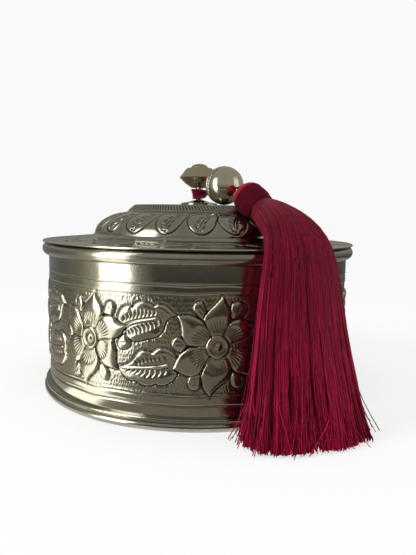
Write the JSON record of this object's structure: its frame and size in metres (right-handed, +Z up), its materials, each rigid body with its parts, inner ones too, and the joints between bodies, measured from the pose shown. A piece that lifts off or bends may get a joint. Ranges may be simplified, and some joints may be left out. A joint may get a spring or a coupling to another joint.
{
  "type": "turkish delight box",
  "caption": "Round lidded sweet box of tinned copper with embossed flowers, a domed engraved lid, a cast knob, and a silk tassel hung from its neck with a hollow metal bead.",
  "frame": {"origin": "centre of the circle that the foot stands on, in the plane of the table", "axes": "+Z up along the drum's axis; -Y is the front of the picture, +X is its right, where the tassel hangs"},
  "size_m": [0.1602, 0.1832, 0.1149],
  "materials": {
    "tinned_sheet": "hand-worked copper sheet under aged tin, satin with dark hollows",
    "cast_knob": "cast and turned, warm grey, worn",
    "bead_metal": "polished plated sheet, engraved round one half",
    "steel": "dull steel",
    "cord_silk": "twisted silk cord",
    "satin_silk": "satin wrapped over the mould, sheen",
    "net_silk": "knitted silk net",
    "skirt_silk": "loose silk strands",
    "turned_wood": "plain turned"
  },
  "bodies": {
    "drum": {"body_wall": "tinned_sheet", "rim_wire": "steel", "floor_plate": "tinned_sheet", "foot_ring": "tinned_sheet"},
    "lid": {"lid_shell": "tinned_sheet", "lid_collar": "tinned_sheet", "knob_base": "cast_knob", "knob": "cast_knob", "knob_washer": "steel", "knob_nut": "steel"},
    "tassel": {"neck_cord": "cord_silk", "cord_knot": "cord_silk", "head_core": "turned_wood", "satin_cap": "satin_silk", "net_cover": "net_silk", "neck_binding": "net_silk", "fringe_heading": "skirt_silk", "skirt": "skirt_silk"},
    "bead": {"bead_near_half": "bead_metal", "bead_far_half": "bead_metal"}
  },
  "joints": [
    {"name": "lid_lift", "type": "slide", "parent": "drum", "child": "lid", "axis": [0, 0, 1], "range_m": [0, 0.1]},
    {"name": "tassel_swing", "type": "hinge", "parent": "lid", "child": "tassel", "pos_m": [0, 0, 0.099], "axis": [0, 0, 1], "continuous": true},
    {"name": "bead_spin", "type": "hinge", "parent": "tassel", "child": "bead", "pos_m": [0.0125, -0.018, 0.10288], "axis": [0.6984, -0.6984, -0.1564], "continuous": true}
  ]
}
